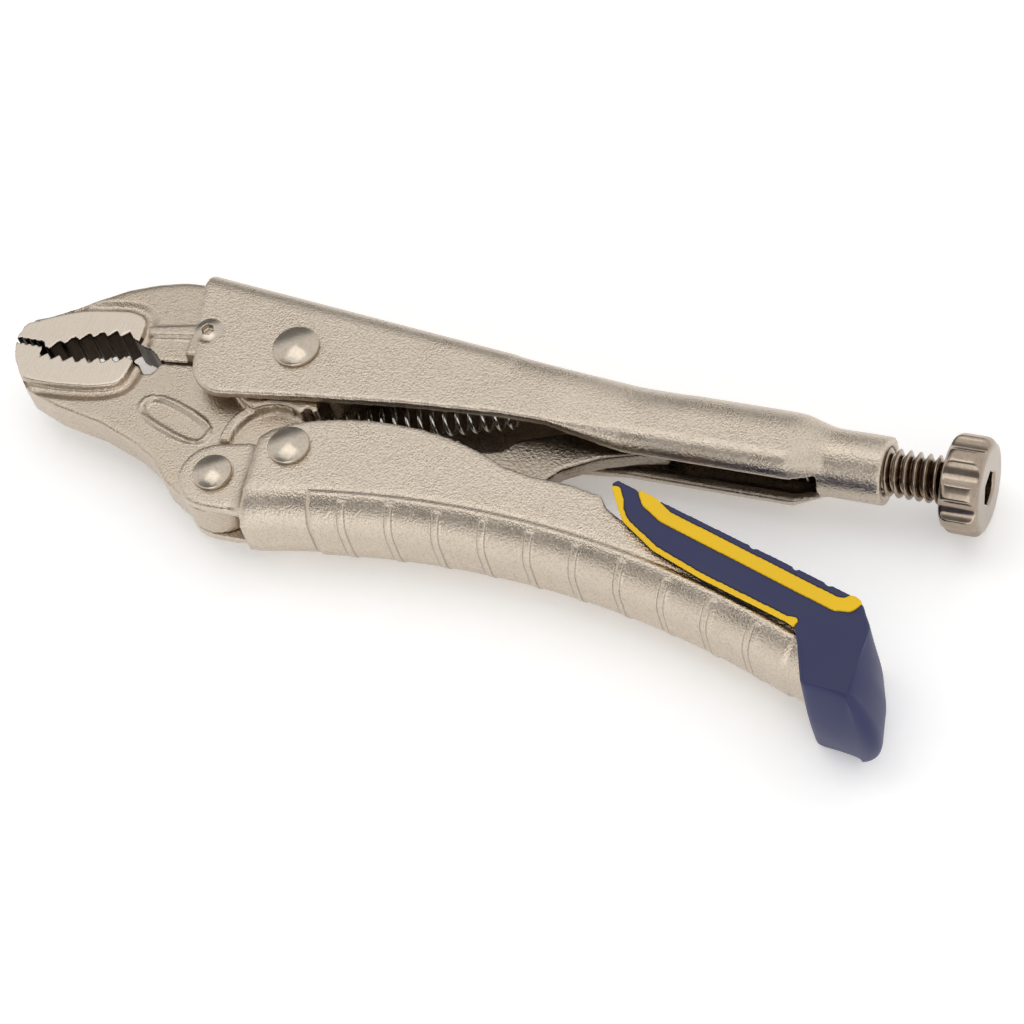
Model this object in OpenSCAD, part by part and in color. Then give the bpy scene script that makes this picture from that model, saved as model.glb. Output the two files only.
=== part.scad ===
// Five inch curved-jaw locking pliers with a wire cutter and a release lever in the lower handle.
// Drawn lying on its side: +Z is across the tool, +X runs along the screw towards the knob.
// Inside the modules the jaw pivot is at [0, 0] and the middle plane of the tool is z = 0.

/* [Handles] */
// Outer width of both pressed steel handles
handle_w = 12.2; // [11.5:0.1:15]
// Thickness of the handle sheet
sheet_t = 1.5; // [1.2:0.05:1.8]
// Jaw pivot to the front edge of the fixed handle
front_reach = 16.5; // [15.5:0.1:18]
// Jaw pivot to the rear end of the fixed handle's tube
tube_end_x = 79.6; // [77:0.2:96]
// Outer diameter of the closed rear tube
tube_d = 8.7; // [8.4:0.1:10]
// Length of the closed rear tube
tube_len = 7.5; // [6:0.5:10]
// Outer diameter of the slotted barrel in front of the tube
barrel_d = 10.2; // [9.8:0.1:11.5]
// Width of the slot under the barrel
slot_w = 4.6; // [4:0.1:5]
// Slope of the fixed handle's back, in degrees
back_slope = 6.1; // [5:0.1:6.5]
// Outer bend radius of the fixed handle's back
back_bend = 3; // [2:0.1:4]
// Radius of the arched back of the lower handle
arch_r = 124; // [112:1:145]
// Outer bend radius of the lower handle's back
lower_bend = 4.6; // [3:0.1:5.4]
// Radius of the front ears
ear_r = 4.9; // [4.4:0.1:5.2]
// How far the ribbed grip panel stands out
panel_rise = 0.35; // [0.1:0.05:0.5]

/* [Jaws] */
// Jaw pivot to the nose
jaw_reach = 41.3; // [38:0.1:48]
// Thickness of the jaws at the nose
jaw_t = 5.2; // [4.4:0.1:5.2]
// Thickness across the raised bars on the fixed jaw
bar_t = 6.4; // [5.8:0.1:7.4]
// Width of the ground flats on the nose
flat_t = 5.8; // [5.4:0.1:6]
// Distance between teeth
tooth_pitch = 1.85; // [1.5:0.05:2.2]
// Depth of a tooth
tooth_depth = 0.95; // [0.6:0.05:1.1]
// Gap between the closed jaws behind the cutter
jaw_gap = 0.4; // [0.3:0.05:0.8]

/* [Linkage] */
// Handle pivot, forward of the jaw pivot
handle_pivot_x = 4.8; // [4.2:0.1:5.4]
// Handle pivot, below the jaw pivot
handle_pivot_drop = 19.7; // [19:0.1:20.4]
// Link pivot, behind the jaw pivot
link_pivot_x = 4.8; // [4:0.1:5.6]
// Link pivot, below the jaw pivot
link_pivot_drop = 15; // [14.4:0.1:15.6]
// Where the link's tip ends, behind the jaw pivot
link_tip_x = 52.3; // [50:0.1:53.5]
// Thickness of the toggle link
link_t = 2.6; // [2:0.1:3.4]
// Diameter of the jaw pivot rivet's shank
jaw_rivet_d = 4.2; // [3.6:0.1:4.8]
// Diameter of the two lower rivets' shanks
link_rivet_d = 3.4; // [3:0.1:4]
// Clearance around each turning shank, on the radius
pivot_fit = 0.05; // [0.03:0.01:0.08]
// Side clearance between sliding plates
side_fit = 0.15; // [0.1:0.05:0.25]

/* [Screw and knob] */
// Major diameter of the adjusting screw
screw_d = 6.2; // [5.2:0.1:6.4]
// Thread pitch
pitch = 1.27; // [1:0.01:1.6]
// Gap between the link's tip and the screw's tip
tip_gap = 3; // [2.8:0.1:5]
// Thread left showing between the tube and the knob
screw_out = 7.7; // [2:0.1:12]
// Knob diameter
knob_d = 12.6; // [11:0.1:14]
// Knob length
knob_len = 5.1; // [4.2:0.1:7]
// Number of finger flutes around the knob
flutes = 8; // [6:1:12]
// Hexagon socket in the knob, across its flats
hex_af = 4; // [3:0.1:5]

/* [Release lever] */
// Wall of the moulded grip beside the steel handle
grip_wall = 0.8; // [0.7:0.1:2]
// Clearance between the grip and the steel handle
grip_fit = 0.25; // [0.2:0.05:0.3]
// Jaw pivot to the rear face of the grip
grip_end_x = 89.2; // [88:0.2:96]
// Diameter of the lever's hidden pin
lever_pin_d = 2.4; // [2:0.1:3]

/* [Spring] */
// Outer diameter of the return spring
spring_d = 4.6; // [4:0.1:5]
// Spring wire diameter
wire_d = 0.55; // [0.4:0.05:0.7]
// Number of coils
coils = 15; // [10:1:18]

/* [Hidden] */
$fn = 48;

inner_w = handle_w - 2 * sheet_t;
wall_z = handle_w / 2;
grip_space = grip_fit + panel_rise;
grip_w = handle_w + 2 * (grip_space + grip_wall);
rest_z = grip_w / 2;
back_front_y = 10.65;
head_rise = 1.3;
tail_rise = rest_z - wall_z;
socket_depth = 3;

handle_pivot = [-handle_pivot_x, -handle_pivot_drop];
link_pivot = [link_pivot_x, -link_pivot_drop];
fixing_rivet = [-front_reach + 3.4, 0.5];
fixing_rivet_d = 3;

// the front channel ends, the slotted barrel starts, and the closed tube starts
channel_end_x = 36;
channel_overrun = 1.5;
channel_end_y = back_front_y - (channel_end_x + front_reach) * tan(back_slope);
barrel_x = 46;
tube_x = tube_end_x - tube_len;
neck_len = 4.3;
slot_stop = 0.7;
thin = 0.05;
handle_low_y = -8.6;
barrel_top = 5.6;
barrel_low = -5.3;
thread_bore = screw_d + 2 * pivot_fit;
screw_tip_x = link_tip_x + tip_gap;
knob_x = tube_end_x + screw_out;
knob_end_x = knob_x + knob_len;

// middle of the box around the whole tool
grip_low_y = -38.8;
mid_x = (knob_end_x - jaw_reach) / 2;
mid_y = (back_front_y + grip_low_y) / 2;

// the arch of the lower handle turns about this point
arch_c = [29, -22.8 - arch_r];

lever_pin = [47.5, -18];
lever_w = inner_w - 2 * side_fit;
lever_nose_t = 3;
// top of the lower handle's walls under the grip, and the roof of the grip above it
wall_top = [[48.4, -15.7], [50.6, -16.9], [84, -28.6]];
roof = [[46, -14.2], [50.6, -16.4], [85, -26.6]];

spring_front = [4.2, -8.4];
spring_rear = [32.2, 0.4];
hook_len = 2.4;
wire_sides = 6;

first_tooth_x = -24.9;
tooth_count = 7;
fine_pitch = 1;
fine_depth = 0.3;
nose_y = -3.7;
// underside of the fixed jaw behind the cutter
split_y = -2.6;
slit_drop = 0.5;
boss_r = 5.6;
head_r = 9.6;

web_front_x = 0.9;
// the front ears straddle the moving jaw
moving_jaw_t = jaw_t - 0.1;
ear_t = sheet_t - 0.1;
ear_w = moving_jaw_t + 2 * (side_fit + ear_t);
panel_h = 3.7;
rib_h = panel_h - 0.9;
rib_rise = 0.2;
rib_count = 10;
rib_step = 6.3;
cap_front_x = 76.8;

function arc(c, r, a0, a1, n = 12) =
    [for (i = [0 : n]) c + r * [cos(a0 + (a1 - a0) * i / n), sin(a0 + (a1 - a0) * i / n)]];

// height of the fixed handle's back at a place along the tool
function back_y(x) = back_front_y - (x + front_reach) * tan(back_slope);

module place() {
    translate([-mid_x, -mid_y, rest_z]) children();
}

module slab(width, middle = 0) {
    translate([0, 0, middle - width / 2]) linear_extrude(width) children();
}

module bore(at, d, length = 40) {
    translate([at[0], at[1], -length / 2]) cylinder(d = d, h = length);
}

// a ball segment: a rivet's rounded head on a flat face
module dome(d, rise) {
    ball_r = (d * d / 4 + rise * rise) / (2 * rise);
    intersection() {
        translate([0, 0, rise - ball_r]) sphere(r = ball_r, $fn = 64);
        cylinder(d = d, h = rise);
    }
}

// shank from face to face, a domed head above and a flat tail below
module rivet(at, shank_d, head_d, face_z, step, tail) {
    translate([at[0], at[1], 0]) {
        translate([0, 0, -face_z]) cylinder(d = shank_d, h = 2 * face_z);
        translate([0, 0, face_z]) {
            cylinder(d = head_d, h = step);
            translate([0, 0, step]) dome(head_d, head_rise - step);
        }
        translate([0, 0, -face_z - tail]) cylinder(d = head_d, h = tail);
    }
}

/* ---- fixed handle ---- */

// extrudes along the tool: the drawing's x becomes up the tool and its y becomes across it
module along(from_x, length) {
    translate([from_x, 0, 0]) rotate([90, 0, 90]) linear_extrude(length) children();
}

// rounded back at top_y, open below
module channel_section(width, bend, top_y, low_y) {
    polygon(concat(
        [[low_y, -width / 2]],
        arc([top_y - bend, -width / 2 + bend], bend, -90, 0),
        arc([top_y - bend, width / 2 - bend], bend, 0, 90),
        [[low_y, width / 2]]));
}

// half round back, and walls that turn in below
module barrel_section(width, top_y, low_y, turn) {
    polygon(concat(
        arc([top_y - width / 2, 0], width / 2, -90, 90, 16),
        arc([low_y + turn, width / 2 - turn], turn, 90, 180, 8),
        arc([low_y + turn, -width / 2 + turn], turn, 180, 270, 8)));
}

module outer_barrel() {
    barrel_section(barrel_d, barrel_top, barrel_low, 2.6);
}

module inner_barrel() {
    barrel_section(barrel_d - 2 * sheet_t, barrel_top - sheet_t, barrel_low + sheet_t, 1.1);
}

// the front channel runs straight along its sloping back
module sloped_channel(width, bend, drop) {
    translate([-front_reach - 1, back_y(-front_reach - 1) - drop, 0])
        rotate([0, 0, -back_slope])
        along(0, (channel_end_x + front_reach + 1) / cos(back_slope) + channel_overrun)
        channel_section(width, bend, 0, -26);
}

module handle_outline() {
    nose_r = 5.3;
    polygon(concat(
        [[-front_reach - 0.3, back_front_y + 2], [-front_reach, 7], [-front_reach + 0.6, 4]],
        arc([nose_r - front_reach + 2.9, handle_low_y + nose_r], nose_r, 180, 270, 8),
        [[3, -7.1], [17, -5.5], [30, -4.6], [channel_end_x, -4.6],
         [channel_end_x, back_front_y + 2]]));
}

// the flat-sided channel narrows into the slotted barrel
module blend_outer() {
    hull() {
        along(channel_end_x - thin, thin) channel_section(handle_w, back_bend, channel_end_y, -4.6);
        along(barrel_x, thin) outer_barrel();
    }
}

module blend_inner() {
    hull() {
        along(channel_end_x - 2 * thin, thin)
            channel_section(inner_w, back_bend - sheet_t, channel_end_y - sheet_t, -3);
        along(barrel_x + thin, thin) inner_barrel();
    }
}

module blend_slot() {
    hull() {
        along(channel_end_x - 2 * thin, thin) translate([-20, -inner_w / 2]) square([18, inner_w]);
        along(barrel_x + thin, thin) translate([-20, -slot_w / 2]) square([18, slot_w]);
    }
}

module tube_blend(section_gap, tube_r) {
    hull() {
        along(tube_x - neck_len, thin)
            barrel_section(barrel_d - 2 * section_gap, barrel_top - section_gap,
                barrel_low + section_gap, 2.6 - section_gap);
        along(tube_x, thin) circle(r = tube_r, $fn = 32);
    }
}

// a small hook pressed down from the back, for the rear end of the spring
module spring_hook() {
    hook_w = 1.6;
    difference() {
        slab(hook_w) polygon([
            [spring_rear[0] - 0.4, spring_rear[1] - 1.2], [spring_rear[0] + 2, spring_rear[1] - 1.2],
            [spring_rear[0] + 3, back_y(spring_rear[0] + 3) - sheet_t / 2],
            [spring_rear[0] + 0.8, back_y(spring_rear[0]) - sheet_t / 2]]);
        bore([spring_rear[0] + 1, spring_rear[1] - 0.1], wire_d + 0.5);
    }
}

module fixed_handle() {
    color([0.76, 0.74, 0.7]) place() {
        difference() {
            union() {
                intersection() {
                    sloped_channel(handle_w, back_bend, 0);
                    slab(handle_w) handle_outline();
                }
                blend_outer();
                along(barrel_x, tube_x - neck_len - barrel_x) outer_barrel();
                tube_blend(0, tube_d / 2);
                along(tube_x, tube_len) circle(d = tube_d);
            }
            sloped_channel(inner_w, back_bend - sheet_t, sheet_t);
            blend_inner();
            blend_slot();
            along(barrel_x, tube_x - neck_len - barrel_x) inner_barrel();
            along(barrel_x, tube_x - slot_stop - barrel_x)
                translate([-20, -slot_w / 2]) square([18, slot_w]);
            tube_blend(sheet_t, thread_bore / 2);
            along(tube_x - 1, tube_len + 2) circle(d = thread_bore);
            bore([0, 0], jaw_rivet_d);
            bore(fixing_rivet, fixing_rivet_d);
        }
        spring_hook();
    }
}

/* ---- jaws ---- */

// the two rows of teeth bow away from each other
function upper_tip_y(x) = -0.5 - 0.031 * (x - first_tooth_x) * (x - first_tooth_x);
function lower_tip_y(x) = -4.9 + 0.0145 * (x + 35) * (x + 35);

// side -1 cuts the gaps upwards into the fixed jaw, +1 downwards into the moving jaw
function teeth(upper) = [for (i = [0 : tooth_count - 1]) for (s = [0, 1])
    let (x = first_tooth_x - (i + s * 0.5) * tooth_pitch)
    [x, (upper ? upper_tip_y(x) : lower_tip_y(x)) + s * tooth_depth * (upper ? 1 : -1)]];

function fine_teeth(y, side) = [for (i = [0 : 3]) for (s = [0, 1])
    [-jaw_reach + 4.2 - (i + s * 0.5) * fine_pitch, y + s * side * fine_depth]];

module fixed_jaw_outline() {
    polygon(concat(
        [[-15.5, split_y], [-19.9, split_y - slit_drop], [-20.8, -2.3], [-22, -1.5],
         [-23.4, -1.1], [-24.2, -0.8]],
        teeth(true),
        fine_teeth(nose_y + jaw_gap / 2, 1),
        [[-jaw_reach, nose_y + jaw_gap / 2], [-jaw_reach + 0.1, -1.8], [-jaw_reach + 1, 0.3],
         [-jaw_reach + 2.9, 1.1], [-36.4, 2.3], [-32.7, 5.1], [-29, 7.5], [-25.2, 9.1],
         [-21.5, 10.1], [-18, 10.3], [-front_reach - 0.6, 10.1],
         [-front_reach - 0.3, back_y(-front_reach) - sheet_t - 0.1],
         [-4.6, back_y(-4.6) - sheet_t - 0.1]],
        arc([0, 0], boss_r + 0.5, 128, 180 + asin(-split_y / (boss_r + 0.5)))));
}

module moving_jaw_outline() {
    polygon(concat(
        fine_teeth(nose_y - jaw_gap / 2, -1),
        [[-jaw_reach, nose_y - jaw_gap / 2], [-jaw_reach + 0.9, -6.4], [-jaw_reach + 2.3, -8.4],
         [-jaw_reach + 4.4, -10.8], [-31.8, -12.7], [-24.5, -14.1], [-18.5, -16.2], [-15, -18.1],
         [-11.8, -21.2]],
        arc(handle_pivot, ear_r - 0.1, 222, 330),
        [[-0.3, -19.5], [-0.3, -10.9], [spring_front[0] - 0.6, -10.6], [spring_front[0] + 1.3, -9.6],
         [spring_front[0] + 1.3, -7.6]],
        arc([0, 0], boss_r, -40, 180 + asin((jaw_gap - split_y) / boss_r), 20),
        [[-15.5, split_y - jaw_gap], [-19.8, split_y - slit_drop - jaw_gap], [-19.9, -4.6],
         [-20.5, -5.4], [-21.4, -5.5], [-22.1, -4.9], [-22.7, -4.1], [-23.8, -3.7]],
        teeth(false)));
}

// the raised bar along the fixed jaw, behind the cutter
module jaw_bar(width) {
    slab(width) polygon([[-22.8, 0.3], [-23.4, 1.6], [-15, 3.4], [-15, 1.5]]);
}

// ground flats on both sides of the nose, cut by the same teeth
module upper_flat() {
    intersection() {
        slab(flat_t) fixed_jaw_outline();
        slab(flat_t) polygon([
            [-38.4, 0.6], [-34, 2.6], [-30, 3.3], [-27, 3.7], [-25.2, 3.4], [-24, 2.2],
            [-23.6, -6], [-jaw_reach - 1, -6], [-jaw_reach - 1, -1.4], [-jaw_reach + 1.4, -0.4]]);
    }
}

module lower_flat() {
    intersection() {
        slab(flat_t) moving_jaw_outline();
        slab(flat_t) polygon([
            [-23.4, -2], [-23.6, -6.6], [-24.4, -8], [-27.6, -9], [-32, -9.5], [-37, -9.7],
            [-jaw_reach - 1, -8.6], [-jaw_reach - 1, -2]]);
    }
}

module fixed_jaw() {
    color([0.74, 0.72, 0.68]) place() difference() {
        union() {
            slab(jaw_t) fixed_jaw_outline();
            intersection() {
                slab(inner_w) fixed_jaw_outline();
                slab(inner_w) translate([-front_reach + 0.6, -4]) square([20, 16]);
            }
            jaw_bar(bar_t);
            upper_flat();
        }
        bore(fixing_rivet, fixing_rivet_d);
    }
}

module moving_jaw() {
    color([0.74, 0.72, 0.68]) place() difference() {
        union() {
            slab(moving_jaw_t) moving_jaw_outline();
            // thick head that fills the fixed handle around the jaw pivot
            difference() {
                intersection() {
                    slab(inner_w - 2 * side_fit) moving_jaw_outline();
                    translate([0, 0, -inner_w]) cylinder(r = head_r, h = 2 * inner_w);
                }
                translate([0.3, -13.2, -inner_w]) cylinder(r = 5.5, h = 2 * inner_w);
            }
            lower_flat();
        }
        bore([0, 0], jaw_rivet_d + 2 * pivot_fit);
        bore(handle_pivot, link_rivet_d + 2 * pivot_fit);
        bore(spring_front, wire_d + 0.9);
        // shallow blank panels pressed into both sides
        for (side = [-1, 1])
            translate([-14.1, -11.7, side * moving_jaw_t / 2]) rotate([0, 0, -20])
                cube([10.4, 3.3, 0.5], center = true);
    }
}

/* ---- lower handle ---- */

// a ring section about the arch: the drawing's x is the height above the arch's centre
module arch_band(from_x, to_x) {
    from_a = asin((from_x - arch_c[0]) / arch_r);
    to_a = asin((to_x - arch_c[0]) / arch_r);
    translate([arch_c[0], arch_c[1], 0]) rotate([0, 0, 90 - to_a])
        rotate_extrude(angle = to_a - from_a, $fn = 180) children();
}

module arch_section(width, bend, back_r) {
    polygon(concat(
        arc([back_r + bend, -width / 2 + bend], bend, 180, 270),
        [[arch_r + 20, -width / 2], [arch_r + 20, width / 2]],
        arc([back_r + bend, width / 2 - bend], bend, 90, 180)));
}

module lower_outline(grow = 0) {
    hump_r = 38;
    polygon(concat(
        [[web_front_x - grow, -40], [web_front_x - grow, -24.4], [-0.3 - grow, -13.9]],
        arc([17.3, -8.7 - hump_r], hump_r, 115, 65, 16),
        [[38, -13.1], [42.6, -13.2], [47.2, -14.1]], wall_top,
        [[84 + grow, -28.6], [84 + grow, -44]]));
}

module ears() {
    for (side = [-1, 1])
        slab(ear_t, side * (ear_w - ear_t) / 2)
            polygon(concat(arc(handle_pivot, ear_r, 105, 270, 16),
                [[web_front_x + 1, -24.6], [0.6, -13.4], [0, -13.6]]));
}

// the space inside the channel, up to the step at its front
module lower_inside() {
    difference() {
        arch_band(-3, 87) arch_section(inner_w, lower_bend - sheet_t, arch_r + sheet_t);
        for (side = [-1, 1])
            slab(handle_w, side * (ear_w / 2 - ear_t + handle_w / 2))
                polygon([[-4, -30], [web_front_x + 1.4, -30], [1.2, -8], [-4, -8]]);
    }
}

module grip_panel() {
    from_x = 10;
    to_x = 76;
    rib_out = panel_rise + rib_rise;
    difference() {
        arch_band(from_x, to_x) intersection() {
            arch_section(handle_w + 2 * panel_rise, lower_bend + panel_rise, arch_r - panel_rise);
            translate([arch_r - 1, -20]) square([panel_h + 1, 40]);
        }
        arch_band(from_x - 1, to_x + 1) arch_section(inner_w + sheet_t, lower_bend - sheet_t / 2,
            arch_r + sheet_t / 2);
    }
    for (i = [0 : rib_count - 1])
        arch_band(from_x + 4 + i * rib_step, from_x + 5.2 + i * rib_step) difference() {
            intersection() {
                arch_section(handle_w + 2 * rib_out, lower_bend + rib_out, arch_r - rib_out);
                translate([arch_r - 1, -20]) square([rib_h + 1, 40]);
            }
            arch_section(inner_w + sheet_t, lower_bend - sheet_t / 2, arch_r + sheet_t / 2);
        }
}

module lower_handle() {
    color([0.76, 0.74, 0.7]) place() difference() {
        union() {
            intersection() {
                difference() {
                    arch_band(-2, 86) arch_section(handle_w, lower_bend, arch_r);
                    lower_inside();
                }
                slab(handle_w) lower_outline();
            }
            ears();
            grip_panel();
        }
        bore(handle_pivot, link_rivet_d);
        bore(link_pivot, link_rivet_d);
        bore(lever_pin, lever_pin_d, inner_w + sheet_t);
    }
}

/* ---- link, rivets, lever ---- */

module toggle_link() {
    color([0.62, 0.6, 0.56]) place() difference() {
        union() {
            slab(link_t) polygon(concat(
                arc(link_pivot, 3.9, 110, 280, 14),
                [[20, -17.2], [31, -14.4], [36.6, -11.6], [38.9, -8.6], [43.4, -5.9], [48, -4.4],
                 [link_tip_x - 0.6, -3.7]],
                arc([link_tip_x - 2.6, -1], 2.6, -30, 70, 8),
                [[47.5, 1.3], [42, -1.2], [34.5, -4.2], [31.9, -5.2], [30.1, -7.1], [27.8, -7.7],
                 [25.6, -7.1], [24, -6.3], [21.6, -6.1], [14, -9.4]]));
            translate([link_pivot[0], link_pivot[1], -inner_w / 2 + side_fit])
                cylinder(r = 3.2, h = inner_w - 2 * side_fit);
        }
        bore(link_pivot, link_rivet_d + 2 * pivot_fit);
    }
}

module jaw_pivot_rivet() {
    color([0.8, 0.78, 0.75]) place() rivet([0, 0], jaw_rivet_d, 6.2, wall_z, 0.2, tail_rise);
}

module handle_pivot_rivet() {
    color([0.8, 0.78, 0.75]) place() rivet(handle_pivot, link_rivet_d, 5.2, ear_w / 2, 0.3, tail_rise);
}

module link_pivot_rivet() {
    color([0.8, 0.78, 0.75]) place() rivet(link_pivot, link_rivet_d, 5.5, wall_z, 0.4, tail_rise);
}

// flush rivet with a small hexagon dimple in each end
module jaw_fixing_rivet() {
    color([0.8, 0.78, 0.75]) place() translate([fixing_rivet[0], fixing_rivet[1], 0])
        difference() {
            union() {
                translate([0, 0, -wall_z]) cylinder(d = fixing_rivet_d, h = 2 * wall_z);
                for (side = [0, 1]) mirror([0, 0, side]) translate([0, 0, wall_z]) dome(4.2, 0.5);
            }
            for (side = [0, 1]) mirror([0, 0, side]) translate([0, 0, wall_z - 0.4])
                cylinder(d = 1.8, h = 2, $fn = 6);
        }
}

module lever_core_outline() {
    polygon([[44, -15.2], [47.6, -15.9], [50.4, -16.3], [52.6, -14.8], [83, -24.2], [83, -26.4],
        [50, -20.5], [44, -19.9]]);
}

// the narrow nose in front of the pin, which lifts the link
module lever_nose() {
    slab(lever_nose_t) polygon([[36.9, -12], [36.7, -14.2], [40, -17], [45, -19.5], [45, -15.4],
        [41, -13.9], [38.6, -12]]);
}

module release_lever() {
    color([0.6, 0.58, 0.55]) place() difference() {
        union() {
            slab(lever_w) lever_core_outline();
            lever_nose();
        }
        slab(lever_w - 2 * sheet_t) polygon([[46, -24], [46, -17.2], [50.4, -17.6], [53, -16.6],
            [81, -25.4], [81, -30]]);
        bore(lever_pin, lever_pin_d + 2 * pivot_fit);
    }
}

module lever_pivot_pin() {
    color([0.7, 0.7, 0.7]) place() bore(lever_pin, lever_pin_d, inner_w + sheet_t);
}

module grip_outline() {
    front_r = 0.7;
    polygon(concat(
        arc([49.2, -13], front_r, 210, 80, 8),
        arc([grip_end_x - 7.6, -25.5], 3, 72, 20, 6),
        [[grip_end_x - 2.8, -27.4], [grip_end_x - 1, -32]],
        arc([grip_end_x - 1.5, grip_low_y + 1.5], 1.5, 15, -105, 8),
        arc([grip_end_x - 7.7, -35.1], 2, 252, 202, 6),
        [[cap_front_x + 0.4, -29.2], [cap_front_x - 0.2, -28.2], [cap_front_x - 1.4, -27.6],
         [63.4, -23.8], [56.4, -21.1], [54.2, -19.6], [51.6, -17.9], [50.4, -16.2]]));
}

// the space the steel handle takes up in the grip, with room to rock under the roof
module steel_space() {
    intersection() {
        difference() {
            arch_band(40, 86) arch_section(handle_w + 2 * grip_space, lower_bend + grip_space,
                arch_r - grip_space);
            arch_band(39, 87) arch_section(inner_w - 2 * grip_fit, lower_bend - sheet_t,
                arch_r + sheet_t + 6.6);
        }
        slab(handle_w + 2 * grip_space) polygon(concat(roof, [[85, -44], [46, -44]]));
    }
}

// the band that shows as a loop around the top of the grip
module stripe_band(width) {
    difference() {
        slab(width) polygon([[50.8, -11.2], [53.2, -15.2], [56.2, -17.1], [80.7, -25.1],
            [82.8, -24.8], [86.2, -20.2]]);
        slab(width + 1) polygon([[53.2, -11.2], [54.8, -14.1], [57, -15.6], [80.8, -23.3],
            [81.6, -23.2], [84.2, -20.2]]);
    }
}

// thin layer along the lower lip of the grip
module lip_band(width) {
    slab(width) polygon([[48, -13.4], [50.4, -16.2], [51.6, -17.9], [54.2, -19.6], [56.4, -21.1],
        [63.4, -23.8],
        [cap_front_x - 1.4, -27.6], [cap_front_x - 0.2, -28.2], [cap_front_x + 0.2, -27.2],
        [cap_front_x - 1.2, -26.6], [63.6, -22.9], [56.9, -20.3], [54.8, -18.9], [52.3, -17.3],
        [51.2, -15.8], [49.6, -13.2]]);
}

module second_shot() {
    intersection() {
        slab(grip_w) grip_outline();
        union() {
            stripe_band(grip_w + 1);
            lip_band(grip_w + 1);
        }
    }
}

module grip_base() {
    color([0.94, 0.78, 0]) place() difference() {
        second_shot();
        slab(grip_w - 1.4) polygon([[48, -12], [83.4, -22.9], [83.4, -30], [48, -30]]);
        steel_space();
        slab(lever_w) lever_core_outline();
    }
}

module grip_cover() {
    color([0.27, 0.29, 0.49]) place() difference() {
        slab(grip_w) grip_outline();
        difference() {
            second_shot();
            slab(grip_w - 1.4) polygon([[48, -12], [83.4, -22.9], [83.4, -30], [48, -30]]);
        }
        steel_space();
        slab(lever_w) lever_core_outline();
        slab(lever_w) polygon([[46, -16], [52, -17.2], [84, -27], [84, -34], [76, -34], [46, -26]]);
    }
}

/* ---- spring, screw, knob ---- */

spring_run = spring_rear - spring_front;
spring_len = norm(spring_run);

// wire rings along the coil, each facing its neighbour
function wire_rings(count, r) = [for (i = [0 : count]) for (k = [0 : wire_sides - 1])
    let (t = i / count, a = 360 * coils * t, b = 360 * k / wire_sides,
         off = wire_d / 2 * cos(b), rise = wire_d / 2 * sin(b))
    [hook_len + t * (spring_len - 2 * hook_len) + rise, (r + off) * cos(a), (r + off) * sin(a)]];

module return_spring() {
    steps = coils * 14;
    r = (spring_d - wire_d) / 2;
    color("LightGray") place() translate([spring_front[0], spring_front[1], 0])
        rotate([0, 0, atan2(spring_run[1], spring_run[0])])
        polyhedron(
            points = wire_rings(steps, r),
            faces = concat(
                [[for (k = [0 : wire_sides - 1]) k]],
                [[for (k = [wire_sides - 1 : -1 : 0]) steps * wire_sides + k]],
                [for (i = [0 : steps - 1]) for (k = [0 : wire_sides - 1])
                    [i * wire_sides + k, (i + 1) * wire_sides + k,
                     (i + 1) * wire_sides + (k + 1) % wire_sides, i * wire_sides + (k + 1) % wire_sides]]),
            convexity = 10);
}

// thread drawn as rings, with a rounded tip towards the link
module adjusting_screw() {
    root_r = screw_d / 2 - 0.62 * pitch;
    turns = floor((knob_x - screw_tip_x - 2.4) / pitch);
    profile = concat(
        [[0, 0], [root_r - 0.6, 0], [root_r, 0.6]],
        [for (i = [0 : turns - 1]) for (s = [0, 1, 2, 3])
            [s == 1 || s == 2 ? screw_d / 2 : root_r, 1 + (i + [0.02, 0.44, 0.56, 0.98][s]) * pitch]],
        [[root_r, knob_x - screw_tip_x + 1], [0, knob_x - screw_tip_x + 1]]);
    color([0.6, 0.57, 0.53]) place() translate([screw_tip_x, 0, 0]) rotate([90, 0, 90])
        rotate_extrude() polygon(profile);
}

module adjusting_knob() {
    rim = 1.2;
    flute_r = 2.3;
    knob_r = knob_d / 2;
    bore_r = screw_d / 2 - 0.62 * pitch;
    color([0.7, 0.66, 0.6]) place() translate([knob_x, 0, 0]) rotate([90, 0, 90]) difference() {
        rotate_extrude() polygon(concat(
            [[bore_r + pivot_fit, 0]],
            arc([knob_r - rim, rim], rim, -90, 0, 6),
            arc([knob_r - rim, knob_len - rim], rim, 0, 90, 6),
            [[0, knob_len], [0, knob_len - socket_depth / 2], [0, 1.1], [bore_r + pivot_fit, 1.1]]));
        for (i = [0 : flutes - 1]) rotate([0, 0, (i + 0.5) * 360 / flutes])
            translate([knob_r + flute_r - 0.75, 0, -1]) cylinder(r = flute_r, h = knob_len + 2);
        translate([0, 0, knob_len - socket_depth])
            cylinder(d = hex_af / cos(30), h = socket_depth + 1, $fn = 6);
    }
}

fixed_handle();
fixed_jaw();
jaw_fixing_rivet();
jaw_pivot_rivet();
moving_jaw();
handle_pivot_rivet();
lower_handle();
link_pivot_rivet();
toggle_link();
release_lever();
lever_pivot_pin();
grip_base();
grip_cover();
return_spring();
adjusting_screw();
adjusting_knob();
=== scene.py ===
import bpy
import bmesh
import math
import numpy as np
from mathutils import Matrix, Vector


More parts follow.
